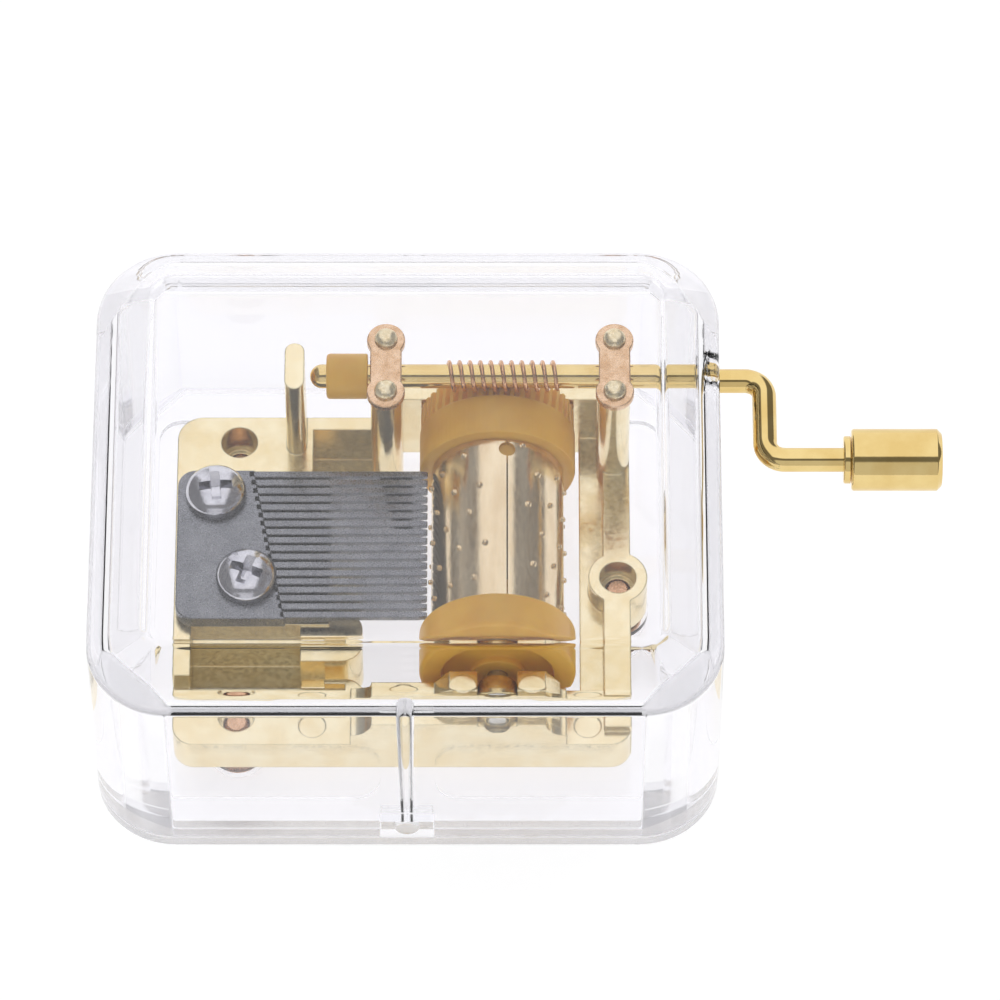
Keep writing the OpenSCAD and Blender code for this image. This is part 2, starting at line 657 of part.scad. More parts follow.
case_shell();
base_plate();
base_screws();
bedplate();
comb();
comb_screws();
comb_weights();
comb_dampers();
cylinder_sleeve();
worm_wheel();
cylinder_end_cap();
cylinder_arbor();
front_bush();
rear_bush();
crank_shaft();
worm_coil();
shaft_collar();
left_bearing_strap();
right_bearing_strap();
strap_rivets();
crank_knob();
knob_collar();
knob_rivet();
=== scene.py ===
"""Looks for the hand-crank music box: finer pieces, materials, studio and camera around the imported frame."""
import math

import bmesh
import bpy
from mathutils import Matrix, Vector


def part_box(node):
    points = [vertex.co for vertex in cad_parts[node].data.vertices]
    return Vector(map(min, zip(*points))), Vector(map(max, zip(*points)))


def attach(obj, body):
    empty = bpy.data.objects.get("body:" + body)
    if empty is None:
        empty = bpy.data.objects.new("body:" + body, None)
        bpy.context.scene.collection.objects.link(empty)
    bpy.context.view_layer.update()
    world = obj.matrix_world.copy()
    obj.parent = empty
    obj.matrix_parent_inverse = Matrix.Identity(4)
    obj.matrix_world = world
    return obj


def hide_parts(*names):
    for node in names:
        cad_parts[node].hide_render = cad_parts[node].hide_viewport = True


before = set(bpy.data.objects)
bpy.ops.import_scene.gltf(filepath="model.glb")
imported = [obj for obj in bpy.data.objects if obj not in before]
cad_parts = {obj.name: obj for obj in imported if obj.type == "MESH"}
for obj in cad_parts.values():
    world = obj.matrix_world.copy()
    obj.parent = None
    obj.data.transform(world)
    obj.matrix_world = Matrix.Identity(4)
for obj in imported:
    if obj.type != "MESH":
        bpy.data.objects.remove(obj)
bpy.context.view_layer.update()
MM = 0.001


# ---------- places taken from the frame, in millimetres ----------

def corners(node):
    low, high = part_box(node)
    return Vector(low) / MM, Vector(high) / MM


def centre(node):
    low, high = corners(node)
    return (low + high) / 2


CASE_LOW, CASE_HIGH = corners("case_shell")
DRUM = centre("cylinder_end_cap")
SHAFT = centre("shaft_collar")
KNOB = centre("crank_knob")

# ---------- mesh helpers ----------

AXES = {
    "X": (Vector((1, 0, 0)), Vector((0, 1, 0)), Vector((0, 0, 1))),
    "Y": (Vector((0, 1, 0)), Vector((0, 0, 1)), Vector((1, 0, 0))),
    "Z": (Vector((0, 0, 1)), Vector((1, 0, 0)), Vector((0, 1, 0))),
}


def filleted(points, closed=True, steps=4):
    """Rounds a polyline of (a, b, fillet) corners; returns (a, b) pairs."""
    out = []
    count = len(points)
    for i, (a, b, fillet) in enumerate(points):
        if fillet <= 0 or (not closed and i in (0, count - 1)):
            out.append((a, b))
            continue
        here = Vector((a, b))
        back = (Vector(points[i - 1][:2]) - here).normalized()
        ahead = (Vector(points[(i + 1) % count][:2]) - here).normalized()
        half = back.angle(ahead) / 2
        middle = here + (back + ahead).normalized() * fillet / math.sin(half)
        start = here + back * fillet / math.tan(half) - middle
        end = here + ahead * fillet / math.tan(half) - middle
        first, swing = math.atan2(start.y, start.x), start.angle_signed(end)
        for k in range(steps + 1):
            t = first - swing * k / steps
            out.append((middle.x + fillet * math.cos(t), middle.y + fillet * math.sin(t)))
    return out


def skin(name, rings, loop=False):
    """Closed mesh through rings of points in millimetres; a loop joins the last ring to the first."""
    build = bmesh.new()
    rows = [[build.verts.new(Vector(p) * MM) for p in ring] for ring in rings]
    count = len(rows[0])
    pairs = list(zip(rows, rows[1:]))
    if loop:
        pairs.append((rows[-1], rows[0]))
    else:
        build.faces.new(rows[0][::-1])
        build.faces.new(rows[-1])
    for low, high in pairs:
        for i in range(count):
            j = (i + 1) % count
            build.faces.new((low[i], low[j], high[j], high[i]))
    bmesh.ops.remove_doubles(build, verts=build.verts, dist=1e-7)
    bmesh.ops.recalc_face_normals(build, faces=build.faces)
    mesh = bpy.data.meshes.new(name)
    build.to_mesh(mesh)
    build.free()
    return mesh


def turned(name, profile, axis, start, segments=96, loop=False):
    """Turned shape: profile is (radius, distance along the axis) pairs."""
    along, across, up = AXES[axis]
    start = Vector(start)
    rings = []
    for radius, distance in profile:
        rings.append([start + along * distance
                      + (across * math.cos(t) + up * math.sin(t)) * max(radius, 0)
                      for t in (2 * math.pi * k / segments for k in range(segments))])
    return skin(name, rings, loop)


def swept(name, path, radius, sides=24):
    """Round wire along a list of points."""
    points = [Vector(p) for p in path]
    rings = []
    side = None
    for i, here in enumerate(points):
        ahead = points[min(i + 1, len(points) - 1)] - points[max(i - 1, 0)]
        ahead.normalize()
        if side is None:
            side = ahead.orthogonal().normalized()
        side = (side - ahead * side.dot(ahead)).normalized()
        other = ahead.cross(side)
        rings.append([here + (side * math.cos(t) + other * math.sin(t)) * radius
                      for t in (2 * math.pi * k / sides for k in range(sides))])
    return skin(name, rings)


def outline_inset(outline, inset):
    """Moves each point of a closed anticlockwise outline inwards by its own corner normal."""
    out = []
    count = len(outline)
    for i, point in enumerate(outline):
        back = (Vector(point) - Vector(outline[i - 1])).normalized()
        ahead = (Vector(outline[(i + 1) % count]) - Vector(point)).normalized()
        bisector = (back + ahead).normalized()
        inward = Vector((-bisector.y, bisector.x))
        out.append(Vector(point) + inward * inset / max(0.5, inward.dot(Vector((-back.y, back.x)))))
    return out


def plate(name, outline, low, high, edge, steps=3):
    """Flat plate over an outline, with its top and bottom edges rounded."""
    levels = []
    for k in range(steps + 1):
        t = math.pi / 2 * k / steps
        levels.append((edge * (1 - math.sin(t)), low + edge * (1 - math.cos(t))))
    levels += [(inset, low + high - z) for inset, z in reversed(levels)]
    return skin(name, [[(p[0], p[1], z) for p in outline_inset(outline, inset)] for inset, z in levels])


def rounded_rectangle(width, depth, radius, steps=14):
    points = []
    for k, (sx, sy) in enumerate(((1, 1), (-1, 1), (-1, -1), (1, -1))):
        for i in range(steps + 1):
            t = math.pi / 2 * (k + i / steps)
            points.append((sx * (width / 2 - radius) + radius * math.cos(t),
                           sy * (depth / 2 - radius) + radius * math.sin(t)))
    return points


def block(name, low, high):
    outline = [(low[0], low[1]), (high[0], low[1]), (high[0], high[1]), (low[0], high[1])]
    return skin(name, [[(x, y, z) for x, y in outline] for z in (low[2], high[2])])


def joined(name, meshes):
    build = bmesh.new()
    for mesh in meshes:
        build.from_mesh(mesh)
        bpy.data.meshes.remove(mesh)
    out = bpy.data.meshes.new(name)
    build.to_mesh(out)
    build.free()
    return out


def carved(mesh, tools, operation="DIFFERENCE"):
    """Exact boolean of a mesh with tool meshes; the tools are used up."""
    base = bpy.data.objects.new("base", mesh)
    bpy.context.collection.objects.link(base)
    helpers = []
    for tool in tools:
        helper = bpy.data.objects.new("tool", tool)
        bpy.context.collection.objects.link(helper)
        helpers.append(helper)
        step = base.modifiers.new("carve", "BOOLEAN")
        step.solver = "EXACT"
        step.operation = operation
        step.object = helper
    graph = bpy.context.evaluated_depsgraph_get()
    out = bpy.data.meshes.new_from_object(base.evaluated_get(graph))
    for item in [base] + helpers:
        bpy.data.objects.remove(item)
    return out


def piece(name, mesh, body, nodes, material, sharp=32):
    """Puts a finished mesh in the frame in place of its CAD nodes."""
    mesh.materials.clear()
    mesh.materials.append(material)
    mesh.shade_smooth()
    mesh.set_sharp_from_angle(angle=math.radians(sharp))
    item = bpy.data.objects.new(name, mesh)
    bpy.context.collection.objects.link(item)
    normals = item.modifiers.new("even normals", "WEIGHTED_NORMAL")
    normals.keep_sharp = True
    normals.weight = 90
    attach(item, body)
    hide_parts(*nodes)


# ---------- materials ----------

def new_material(name, colour, roughness, metallic=0.0):
    material = bpy.data.materials.new(name)
    material.use_nodes = True
    shader = material.node_tree.nodes["Principled BSDF"]
    shader.inputs["Base Color"].default_value = (*colour, 1)
    shader.inputs["Roughness"].default_value = roughness
    shader.inputs["Metallic"].default_value = metallic
    return material, material.node_tree.nodes, material.node_tree.links, shader


def noise(nodes, links, size_mm, detail=3.0, stretch=(1, 1, 1)):
    """Noise with features of the given size, in the object's own space."""
    place = nodes.new("ShaderNodeTexCoord")
    mapping = nodes.new("ShaderNodeMapping")
    mapping.inputs["Scale"].default_value = stretch
    links.new(place.outputs["Object"], mapping.inputs["Vector"])
    texture = nodes.new("ShaderNodeTexNoise")
    texture.inputs["Scale"].default_value = 1 / (size_mm * MM)
    texture.inputs["Detail"].default_value = detail
    links.new(mapping.outputs["Vector"], texture.inputs["Vector"])
    return texture.outputs["Fac"]


def ranged(nodes, links, value, low, high, start=0.35, end=0.65):
    remap = nodes.new("ShaderNodeMapRange")
    remap.inputs["From Min"].default_value = start
    remap.inputs["From Max"].default_value = end
    remap.inputs["To Min"].default_value = low
    remap.inputs["To Max"].default_value = high
    links.new(value, remap.inputs["Value"])
    return remap.outputs["Result"]


def blended(nodes, links, factor, first, second):
    mix = nodes.new("ShaderNodeMix")
    mix.data_type = "RGBA"
    mix.inputs["A"].default_value = (*first, 1)
    mix.inputs["B"].default_value = (*second, 1)
    links.new(factor, mix.inputs["Factor"])
    return mix.outputs["Result"]


def bumped(nodes, links, shader, height, depth_mm):
    bump = nodes.new("ShaderNodeBump")
    bump.inputs["Distance"].default_value = depth_mm * MM
    bump.inputs["Strength"].default_value = 1.0
    links.new(height, bump.inputs["Height"])
    links.new(bump.outputs["Normal"], shader.inputs["Normal"])
    return bump


def metal(name, colour, worn, roughness, spread, patch_mm, grain_mm, grain_depth, stretch=(1, 1, 1),
          arris_mm=0.0):
    """Metal with tarnish in patches, uneven gloss, a fine grain and, on a casting, soft arrises."""
    material, nodes, links, shader = new_material(name, colour, roughness, 1.0)
    patches = noise(nodes, links, patch_mm, 4.0, stretch)
    links.new(blended(nodes, links, ranged(nodes, links, patches, 0, 1), colour, worn),
              shader.inputs["Base Color"])
    grain = noise(nodes, links, grain_mm, 2.0, stretch)
    links.new(ranged(nodes, links, grain, roughness - spread, roughness + spread),
              shader.inputs["Roughness"])
    bump = bumped(nodes, links, shader, grain, grain_depth)
    if arris_mm:
        arris = nodes.new("ShaderNodeBevel")
        arris.samples = 6
        arris.inputs["Radius"].default_value = arris_mm * MM
        links.new(arris.outputs["Normal"], bump.inputs["Normal"])
    return material


def acrylic(name, frosted_below_mm=0.0):
    """Clear acrylic with faint smears. Below the given height, if there is one, its surface is frosted."""
    material, nodes, links, shader = new_material(name, (0.968, 0.965, 0.985), 0.015)
    shader.inputs["Transmission Weight"].default_value = 1.0
    shader.inputs["IOR"].default_value = 1.49
    smears = noise(nodes, links, 6.0, 3.0)
    roughness = ranged(nodes, links, smears, 0.0, 0.03)
    if frosted_below_mm:
        split = nodes.new("ShaderNodeSeparateXYZ")
        place = nodes.new("ShaderNodeTexCoord")
        links.new(place.outputs["Object"], split.inputs[0])
        height = frosted_below_mm * MM
        frost = ranged(nodes, links, split.outputs["Z"], 0.6, 0.0, height / 2, height)
        either = nodes.new("ShaderNodeMath")
        either.operation = "MAXIMUM"
        links.new(roughness, either.inputs[0])
        links.new(frost, either.inputs[1])
        roughness = either.outputs[0]
    links.new(roughness, shader.inputs["Roughness"])
    clear = nodes.new("ShaderNodeBsdfTransparent")
    mix = nodes.new("ShaderNodeMixShader")
    path = nodes.new("ShaderNodeLightPath")
    links.new(path.outputs["Is Shadow Ray"], mix.inputs[0])
    links.new(shader.outputs[0], mix.inputs[1])
    links.new(clear.outputs[0], mix.inputs[2])
    links.new(mix.outputs[0], nodes["Material Output"].inputs["Surface"])
    return material


def amber(name):
    """Translucent amber moulding: light bleeds through its edges."""
    material, nodes, links, shader = new_material(name, (0.91, 0.49, 0.05), 0.34)
    cloud = noise(nodes, links, 2.5, 3.0)
    mottle = blended(nodes, links, ranged(nodes, links, cloud, 0, 1),
                     (0.95, 0.53, 0.055), (0.88, 0.46, 0.04))
    links.new(mottle, shader.inputs["Base Color"])
    shader.inputs["Subsurface Weight"].default_value = 0.2
    shader.inputs["Subsurface Radius"].default_value = (1.6, 0.8, 0.25)
    shader.inputs["Subsurface Scale"].default_value = MM
    shader.inputs["Specular IOR Level"].default_value = 0.5
    bumped(nodes, links, shader, noise(nodes, links, 0.35, 2.0), 0.01)
    return material


def film(name):
    """Milky film of the damper tongues."""
    material, nodes, links, shader = new_material(name, (0.80, 0.80, 0.84), 0.35)
    shader.inputs["Transmission Weight"].default_value = 0.5
    bumped(nodes, links, shader, noise(nodes, links, 0.5, 2.0), 0.02)
    return material


# metals: colour, worn colour, roughness, its spread, patch size, grain size, grain depth, in millimetres
ACRYLIC = acrylic("clear_acrylic")
BASE_ACRYLIC = acrylic("base_acrylic", 0.06)
AMBER = amber("amber_plastic")
BED = metal("plated_bed", (0.92, 0.81, 0.54), (0.87, 0.72, 0.42), 0.20, 0.06, 2.4, 0.45, 0.004,
            arris_mm=0.22)
COMB = metal("comb_steel", (0.235, 0.24, 0.255), (0.19, 0.195, 0.21), 0.30, 0.08, 1.6, 0.14, 0.006)
SCREW = metal("screw_steel", (0.66, 0.66, 0.69), (0.54, 0.54, 0.58), 0.15, 0.05, 1.0, 0.2, 0.004)
LEAD = metal("lead", (0.20, 0.20, 0.22), (0.14, 0.14, 0.16), 0.55, 0.1, 0.6, 0.2, 0.02)
FILM = film("damper_film")
SLEEVE = metal("sleeve_plate", (0.84, 0.70, 0.47), (0.76, 0.60, 0.38), 0.17, 0.05, 1.5, 0.3, 0.006,
               (1, 0.35, 1))
ARBOR = metal("arbor_steel", (0.62, 0.60, 0.55), (0.50, 0.47, 0.42), 0.2, 0.05, 1.0, 0.15, 0.005)
BUSH = metal("bush_brass", (0.80, 0.68, 0.38), (0.66, 0.52, 0.26), 0.2, 0.06, 0.8, 0.15, 0.01)
GOLD = metal("gold_plate", (0.82, 0.63, 0.28), (0.75, 0.54, 0.21), 0.06, 0.025, 3.0, 0.5, 0.002)
COPPER = metal("copper_wire", (0.78, 0.47, 0.27), (0.62, 0.34, 0.18), 0.16, 0.05, 0.5, 0.2, 0.004)
ROSE = metal("rose_strap", (0.80, 0.56, 0.36), (0.62, 0.38, 0.20), 0.24, 0.08, 0.9, 0.2, 0.008)
RIVET = metal("rivet_metal", (0.88, 0.78, 0.54), (0.78, 0.64, 0.38), 0.32, 0.07, 0.5, 0.25, 0.01)
FOOT = metal("foot_screw_metal", (0.76, 0.46, 0.28), (0.60, 0.34, 0.19), 0.28, 0.06, 0.8, 0.2, 0.008)


# ---------- case ----------

CORNER_R = 7.8
WALL = 2.2
BEVEL_RUN, BEVEL_RISE = 5.2, 3.9
CASE_W, CASE_D = CASE_HIGH.x - CASE_LOW.x, CASE_HIGH.y - CASE_LOW.y
SHELL_Z, CASE_TOP = CASE_LOW.z, CASE_HIGH.z
FLANGE_H = 1.6
NOTCH_W, NOTCH_H = 5.2, 3.0
SHAFT_HOLE_R = 1.9
INNER_CUT = 5.3        # 45-degree cut across each corner of the space inside
SHORTEST_CUT = 1.0     # what is left of the cut at the top of the slopes
CUT_FILLET = 0.6
SLOPE_STRETCH = 1.17   # the slopes inside are longer by this much at the front and back
PLUG_GAP = 0.15        # between the base's plug and the cover
JOINT_SINK = 0.02      # the cover's foot is bedded into the flange, so that light passes the joint


def case_rings(levels):
    """Rectangles with the case's round corners: (inset, z) each."""
    rings = []
    for inset, z in levels:
        outline = rounded_rectangle(CASE_W - 2 * inset, CASE_D - 2 * inset, CORNER_R - inset)
        rings.append([(x, y, z) for x, y in outline])
    return rings


def cut_rings(levels, stretch=1.0):
    """Rectangles with slightly rounded 45-degree cut corners: (inset, z) each.

    Stretch lengthens the slopes at the front and back. The cut shrinks as the slopes close in."""
    rings = []
    for inset, z in levels:
        run = inset - WALL
        half_w, half_d = CASE_W / 2 - inset, CASE_D / 2 - WALL - run * stretch
        cut = max(INNER_CUT - run * (1 + stretch), SHORTEST_CUT) if run > PLUG_GAP else INNER_CUT
        quarter = [(half_w - cut, -half_d), (half_w, -half_d + cut)]
        right = quarter + [(a, -b) for a, b in quarter[::-1]]
        outline = right + [(-a, -b) for a, b in right]
        corner_list = [(a, b, CUT_FILLET) for a, b in outline]
        rings.append([(x, y, z) for x, y in filleted(corner_list, steps=3)])
    return rings


def make_shell():
    slope = BEVEL_RISE / BEVEL_RUN
    inner_run = (BEVEL_RISE - WALL + WALL * math.sqrt(1 + slope * slope)) / slope - WALL
    inner_top = CASE_TOP - WALL
    outside = filleted([(0.0, SHELL_Z, 0), (0.0, CASE_TOP - BEVEL_RISE, 1.2),
                        (BEVEL_RUN, CASE_TOP, 0.9), (BEVEL_RUN + 3, CASE_TOP, 0)], closed=False)
    inside = filleted([(WALL, SHELL_Z, 0), (WALL, inner_top - inner_run * slope, 2.4),
                       (WALL + inner_run, inner_top, 1.2), (WALL + inner_run + 1.2, inner_top, 0)],
                      closed=False)
    foot = FLANGE_H - JOINT_SINK
    outer = skin("outer", case_rings([(0.12, foot), (0.0, foot + 0.12)] + outside[1:-1]))
    inner = skin("inner", cut_rings([(WALL, foot - 1)] + inside[1:-1], SLOPE_STRETCH))
    notch = block("notch", (-NOTCH_W / 2, -CASE_D / 2 - 1, 0),
                  (NOTCH_W / 2, -CASE_D / 2 + WALL + 1, FLANGE_H + NOTCH_H))
    ease = 0.2
    hole = turned("hole", [(SHAFT_HOLE_R + 2 * ease, -ease), (SHAFT_HOLE_R, ease),
                           (SHAFT_HOLE_R, WALL - ease), (SHAFT_HOLE_R + 2 * ease, WALL + ease)],
                  "X", (CASE_HIGH.x - WALL, SHAFT.y, SHAFT.z), 48)
    shell = carved(outer, [inner, notch, hole])
    # tapered rib inside the front wall, above the notch
    rib_y = -CASE_D / 2 + WALL
    rib_top = CASE_TOP - BEVEL_RISE - 1.2
    rib_low = FLANGE_H + NOTCH_H + 0.2
    bulge = ((-1, -0.1), (1, -0.1), (0.92, 0.1), (0.72, 0.25), (0.4, 0.36), (0, 0.4),
             (-0.4, 0.36), (-0.72, 0.25), (-0.92, 0.1))
    rib = skin("rib", [[(half * a, rib_y + b, z) for a, b in bulge]
                       for half, z in ((0.6, rib_low), (0.9, rib_top))])
    shell = carved(shell, [rib], "UNION")
    piece("acrylic_shell", shell, "root", ["case_shell"], ACRYLIC, 28)


FOOT_SCREWS = ((-16.5, 12.7), (-16.4, -14.9), (20.3, -1.7))
PLUG_TOP = 3.0
POCKET_DEPTH = 0.7
POCKET_NEAR, POCKET_FAR = 2.6, 24.7   # from the middle to a pocket's two ends
POCKET_LEN, POCKET_Y, POCKET_R = 41, -0.5, 2.2
TAB_HALF = 2.48
NUB_R, NUB_LEN = 1.2, 2.2
BOSS_R = 3.0
HEAD_BORE_R, HEAD_BORE_TOP, SHANK_BORE_R = 2.8, 1.4, 1.45


def make_base():
    plug = WALL + PLUG_GAP
    flange = skin("flange", case_rings([(0.25, 0.0), (0.07, 0.07), (0.0, 0.25), (0.0, FLANGE_H - 0.1),
                                        (0.1, FLANGE_H)]))
    raised = skin("plug", cut_rings([(plug, FLANGE_H / 2), (plug, PLUG_TOP - 0.05)]))
    body = carved(flange, [raised], "UNION")
    pockets = []
    for side in (-1, 1):
        low, high = sorted((side * POCKET_NEAR, side * POCKET_FAR))
        outline = [(x + (low + high) / 2, y + POCKET_Y)
                   for x, y in rounded_rectangle(high - low, POCKET_LEN, POCKET_R, 6)]
        levels = (PLUG_TOP - POCKET_DEPTH, 9)
        pockets.append(skin("pocket", [[(x, y, z) for x, y in outline] for z in levels]))
    body = carved(body, pockets)
    tab_top = FLANGE_H + NOTCH_H - 0.12
    tab_front, tab_back = -CASE_D / 2 + 0.9, -CASE_D / 2 + WALL + 1
    tab = plate("tab", [(-TAB_HALF, tab_front), (TAB_HALF, tab_front),
                        (TAB_HALF, tab_back), (-TAB_HALF, tab_back)], 0.3, tab_top, 0.15)
    nub = turned("nub", filleted([(0, 0, 0), (NUB_R, 0, 0.3), (NUB_R, NUB_LEN, 0), (0, NUB_LEN, 0)], False),
                 "Y", (0, -CASE_D / 2 + 0.15, FLANGE_H + 1.3), 40)
    bosses = [turned("boss", [(BOSS_R, 1.5), (BOSS_R, PLUG_TOP)], "Z", (x, y, 0), 48)
              for x, y in FOOT_SCREWS]
    body = carved(body, [tab, nub] + bosses, "UNION")
    bore = [(HEAD_BORE_R, -1), (HEAD_BORE_R, HEAD_BORE_TOP), (SHANK_BORE_R, HEAD_BORE_TOP), (SHANK_BORE_R, 9)]
    holes = [turned("bore", bore, "Z", (x, y, 0), 48) for x, y in FOOT_SCREWS]
    body = carved(body, holes)
    piece("acrylic_base", body, "root", ["base_plate"], BASE_ACRYLIC, 28)


# ---------- screws ----------

COMB_SCREWS = ((-18.6, 5.7, 5), (-15.5, -3.8, -20))   # x, y and the turn of the cross in degrees
FOOT_SCREW_TURN = 20
THREAD_PITCH, THREAD_DEPTH = 0.5, 0.14


def cross_tool(size, width, top, depth, turn):
    """Phillips recess: two tapered wings."""
    wings = []
    for quarter in (0, 90):
        angle = math.radians(turn + quarter)
        along = Vector((math.cos(angle), math.sin(angle)))
        across = Vector((-along.y, along.x))
        rings = []
        for scale, z in ((0.30, top - depth), (1.0, top), (1.25, top + 2)):
            half, side = size / 2 * scale, width / 2 * (0.75 + 0.25 * scale)
            rings.append([(*(along * a * half + across * b * side), z)
                          for a, b in ((-1, -1), (1, -1), (1, 1), (-1, 1))])
        wings.append(skin("wing", rings))
    return wings


def moved(mesh, offset, flip=False):
    """Moves a mesh by millimetres; flip first turns it upside down."""
    for vertex in mesh.vertices:
        if flip:
            vertex.co.z, vertex.co.y = -vertex.co.z, -vertex.co.y
        vertex.co += Vector(offset) * MM
    return mesh


def pan_screw(head_r, crown, skirt, shank_r, shank, recess, turn):
    """Domed cross-head screw with its head on the origin and its shank hanging down."""
    profile = [(0, -shank), (shank_r * 0.7, -shank), (shank_r, -shank + 0.5)]
    for k in range(int((shank - 1.2) / THREAD_PITCH)):
        z = -shank + 0.6 + THREAD_PITCH * k
        profile += [(shank_r, z), (shank_r - THREAD_DEPTH, z + THREAD_PITCH / 2)]
    profile += [(shank_r, -0.5), (shank_r, 0), (head_r - 0.12, 0), (head_r, 0.12), (head_r, skirt)]
    steps = 12
    for k in range(1, steps + 1):
        t = math.pi / 2 * k / steps
        profile.append((head_r * math.cos(t) ** 0.85 if k < steps else 0,
                        skirt + (crown - skirt) * math.sin(t)))
    size, width, depth = recess
    return carved(turned("screw", profile, "Z", (0, 0, 0), 64),
                  cross_tool(size, width, crown - 0.02, depth, turn))


def make_screws():
    seat = corners("comb")[1].z
    heads = []
    for x, y, turn in COMB_SCREWS:
        screw = pan_screw(2.95, 1.95, 0.55, 1.5, 6.0, (3.5, 0.95, 1.35), turn)
        heads.append(moved(screw, (x, y, seat)))
    piece("pan_screws", joined("pan_screws", heads), "root", ["comb_screws"], SCREW, 40)
    feet = []
    for x, y in FOOT_SCREWS:
        screw = pan_screw(2.4, 1.15, 0.6, 1.25, 5.3, (2.6, 0.6, 0.7), FOOT_SCREW_TURN)
        feet.append(moved(screw, (x, y, HEAD_BORE_TOP), flip=True))
    piece("foot_screws", joined("foot_screws", feet), "root", ["base_screws"], FOOT, 40)


# ---------- bedplate ----------

def dress_bed():
    """The casting's CAD shape is right, so it only takes a better finish."""
    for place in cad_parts["bedplate"].material_slots:
        place.material = BED


# ---------- comb ----------

TEETH = 18
TOOTH_PITCH, TOOTH_GAP = 0.935, 0.25
COMB_LOW, COMB_HIGH = corners("comb")
ROOT_BACK, ROOT_FRONT = -15.4, -12.2   # where the teeth leave the comb's base, at its two ends
TOOTH_EDGE = 0.07
TOOTH_THIN = 0.55                      # along the tooth, after its thick root


def tooth_y(i):
    return COMB_HIGH.y - TOOTH_PITCH * (i + 0.5)


def make_comb():
    left, top, bottom = COMB_LOW.x, COMB_HIGH.z, COMB_LOW.z
    back, front = COMB_HIGH.y, COMB_LOW.y
    outline = filleted([(left, front, 1.7), (ROOT_FRONT + 0.5, front, 0.1), (ROOT_BACK + 0.5, back, 0.1),
                        (left, back, 1.7)], steps=8)
    parts = [plate("comb_base", outline, bottom, top, 0.18)]
    for i in range(TEETH):
        root = ROOT_BACK + (ROOT_FRONT - ROOT_BACK) * i / (TEETH - 1)
        half = (TOOTH_PITCH - TOOTH_GAP) / 2
        middle = tooth_y(i)
        tip = COMB_HIGH.x
        # stations along the tooth: x, half width, thickness, how far the top drops
        stations = ((root, half, 1.2, 0.0), (root + 1.5, half, 1.2, 0.0), (root + 6, half, TOOTH_THIN, 0.0),
                    (tip - 0.9, half, TOOTH_THIN, 0.0), (tip - 0.12, half * 0.82, 0.5, 0.0),
                    (tip, half * 0.7, 0.4, 0.06))
        rings = []
        for x, side, thick, drop in stations:
            flank, upper = side - TOOTH_EDGE, top - TOOTH_EDGE - drop
            rings.append([(x, middle - side, top - thick), (x, middle + side, top - thick),
                          (x, middle + side, upper), (x, middle + flank, top - drop),
                          (x, middle - flank, top - drop), (x, middle - side, upper)])
        parts.append(skin("tooth", rings))
    piece("steel_comb", joined("steel_comb", parts), "root", ["comb"], COMB, 25)


# ---------- drum ----------

SLEEVE_R = 6.4
SLEEVE_T = 0.5
SEAM = math.radians(8.5)
PINS, PIN_R = 66, 0.24
PIN_PROFILE = ((PIN_R + 0.10, 0.0), (PIN_R + 0.09, 0.16), (PIN_R, 0.22), (PIN_R, 0.36),
               (PIN_R * 0.75, 0.42), (PIN_R * 0.35, 0.45))   # radius and height above the pin's foot
PIN_SIDES = 14


def drum_point(radius, angle, y):
    """Angle is from straight up towards +X."""
    return Vector((DRUM.x + radius * math.sin(angle), y, DRUM.z + radius * math.cos(angle)))


def make_sleeve():
    low, high = corners("cylinder_sleeve")
    notch_y, notch_r = high.y - 1.1, 0.75
    slit = 0.07
    rows = [low.y, low.y + 0.06]
    rows += [low.y + 0.06 + (notch_y - notch_r - low.y - 0.1) * k / 6 for k in (1, 3, 6)]
    rows += [notch_y + notch_r * math.sin(math.pi * (k / 16 - 0.5)) for k in range(17)]
    rows += [high.y - 0.06, high.y]
    steps = 120
    grid = []
    for y in rows:
        reach = abs(y - notch_y)
        opening = slit + (math.sqrt(notch_r ** 2 - reach ** 2) if reach < notch_r else 0)
        edge = min(y - low.y, high.y - y)
        shrink = 0.05 if edge < 0.01 else 0.0
        start = SEAM + opening / SLEEVE_R
        sweep = 2 * math.pi - 2 * opening / SLEEVE_R
        outer, inner = [], []
        for k in range(steps + 1):
            share = k / steps
            angle = start + sweep * share
            # the sheet dips a little at the seam, as rolled sheet does
            dip = 0.05 * math.exp(-min(share, 1 - share) * steps / 3)
            outer.append(drum_point(SLEEVE_R - shrink - dip, angle, y))
            inner.append(drum_point(SLEEVE_R - SLEEVE_T, angle, y))
        grid.append(outer + inner[::-1])
    parts = [skin("sheet", grid)]
    for k in range(PINS):
        track = (k * 7 + k // 9) % TEETH
        angle = SEAM + math.radians(14 + k * (360 - 28) / PINS)
        base = drum_point(SLEEVE_R - 0.15, angle, tooth_y(track))
        outward = (drum_point(1, angle, 0) - drum_point(0, angle, 0)).normalized()
        side = Vector((0, 1, 0))
        other = outward.cross(side)
        rings = []
        for radius, rise in PIN_PROFILE:
            rings.append([base + outward * rise + (side * math.cos(t) + other * math.sin(t)) * radius
                          for t in (2 * math.pi * n / PIN_SIDES for n in range(PIN_SIDES))])
        parts.append(skin("pin", rings))
    sleeve = joined("pinned_sleeve", parts)
    piece("pinned_sleeve", sleeve, "drum", ["cylinder_sleeve"], SLEEVE, 35)


WHEEL_TEETH = 45
WHEEL_RIM_R = 7.55
WHEEL_PITCH_R = WHEEL_TEETH / 2 / math.pi
SPIGOT_R = SLEEVE_R - SLEEVE_T - 0.02
SPIGOT_LEN = 2.5
BORE_R = 1.02
TEETH_FRONT_Y = 12.9


